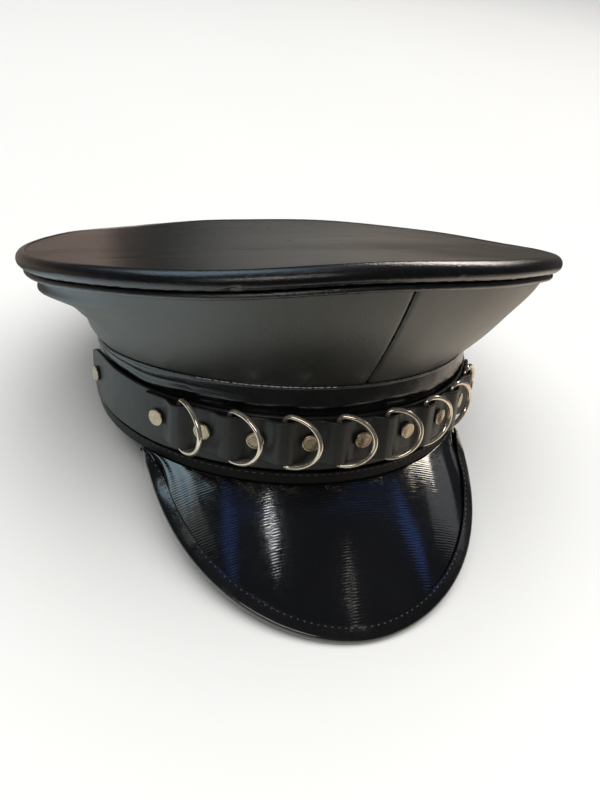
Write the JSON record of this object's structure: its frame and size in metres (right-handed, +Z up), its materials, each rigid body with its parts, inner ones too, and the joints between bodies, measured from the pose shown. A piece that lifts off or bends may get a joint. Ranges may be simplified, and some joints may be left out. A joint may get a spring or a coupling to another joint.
{
  "type": "leather peaked cap",
  "caption": "Stiff-crowned black leather peaked cap with a rolled rim, a head band, a strap of swinging D-rings across the front and a glossy bound peak.",
  "frame": {"origin": "centre of the bounding box's bottom face, on the surface the cap rests on", "axes": "+Z up, -Y towards the peak, +X towards the wearer's left; the cap leans back as it does at rest on its peak and the rear of its band"},
  "size_m": [0.2554, 0.2936, 0.1415],
  "materials": {
    "crown_leather": "satin black leather with a fine grain",
    "rim_leather": "satin black leather over a padded roll",
    "band_leather": "smooth semi-gloss black leather",
    "strap_leather": "satin black strap leather",
    "patent_leather": "high-gloss black patent leather",
    "binding_leather": "gloss black leather binding",
    "nickel": "polished nickel plate, slightly warm"
  },
  "bodies": {
    "cap": {"crown_top": "crown_leather", "crown_roll": "rim_leather", "crown_piping": "rim_leather", "crown_wall_left": "crown_leather", "crown_wall_right": "crown_leather", "band": "band_leather", "band_welt": "band_leather", "wide_strap": "strap_leather", "ring_strap": "strap_leather", "peak": "patent_leather", "peak_binding": "binding_leather", "rivet_1": "nickel", "rivet_2": "nickel", "rivet_3": "nickel", "rivet_4": "nickel", "rivet_5": "nickel", "rivet_6": "nickel", "rivet_7": "nickel", "rivet_8": "nickel", "rivet_9": "nickel", "rivet_side_left": "nickel", "rivet_side_right": "nickel"},
    "ring_1": {"d_ring_1": "nickel"},
    "ring_2": {"d_ring_2": "nickel"},
    "ring_3": {"d_ring_3": "nickel"},
    "ring_4": {"d_ring_4": "nickel"},
    "ring_5": {"d_ring_5": "nickel"},
    "ring_6": {"d_ring_6": "nickel"},
    "ring_7": {"d_ring_7": "nickel"},
    "ring_8": {"d_ring_8": "nickel"}
  },
  "joints": [
    {"name": "ring_1_swing", "type": "hinge", "parent": "cap", "child": "ring_1", "pos_m": [-0.06438, -0.06063, 0.04877], "axis": [0, -0.2019, -0.9794], "range_deg": [0, 110]},
    {"name": "ring_2_swing", "type": "hinge", "parent": "cap", "child": "ring_2", "pos_m": [-0.04594, -0.07371, 0.05147], "axis": [0, -0.2019, -0.9794], "range_deg": [0, 110]},
    {"name": "ring_3_swing", "type": "hinge", "parent": "cap", "child": "ring_3", "pos_m": [-0.02497, -0.08213, 0.0532], "axis": [0, -0.2019, -0.9794], "range_deg": [0, 110]},
    {"name": "ring_4_swing", "type": "hinge", "parent": "cap", "child": "ring_4", "pos_m": [-0.00261, -0.08543, 0.05388], "axis": [0, -0.2019, -0.9794], "range_deg": [0, 110]},
    {"name": "ring_5_swing", "type": "hinge", "parent": "cap", "child": "ring_5", "pos_m": [0.0199, -0.08342, 0.05347], "axis": [0, -0.2019, -0.9794], "range_deg": [0, 110]},
    {"name": "ring_6_swing", "type": "hinge", "parent": "cap", "child": "ring_6", "pos_m": [0.04133, -0.07623, 0.05199], "axis": [0, -0.2019, -0.9794], "range_deg": [0, 110]},
    {"name": "ring_7_swing", "type": "hinge", "parent": "cap", "child": "ring_7", "pos_m": [0.06049, -0.06424, 0.04951], "axis": [0, -0.2019, -0.9794], "range_deg": [0, 110]},
    {"name": "ring_8_swing", "type": "hinge", "parent": "cap", "child": "ring_8", "pos_m": [0.07633, -0.04811, 0.04619], "axis": [0, -0.2019, -0.9794], "range_deg": [0, 110]}
  ]
}
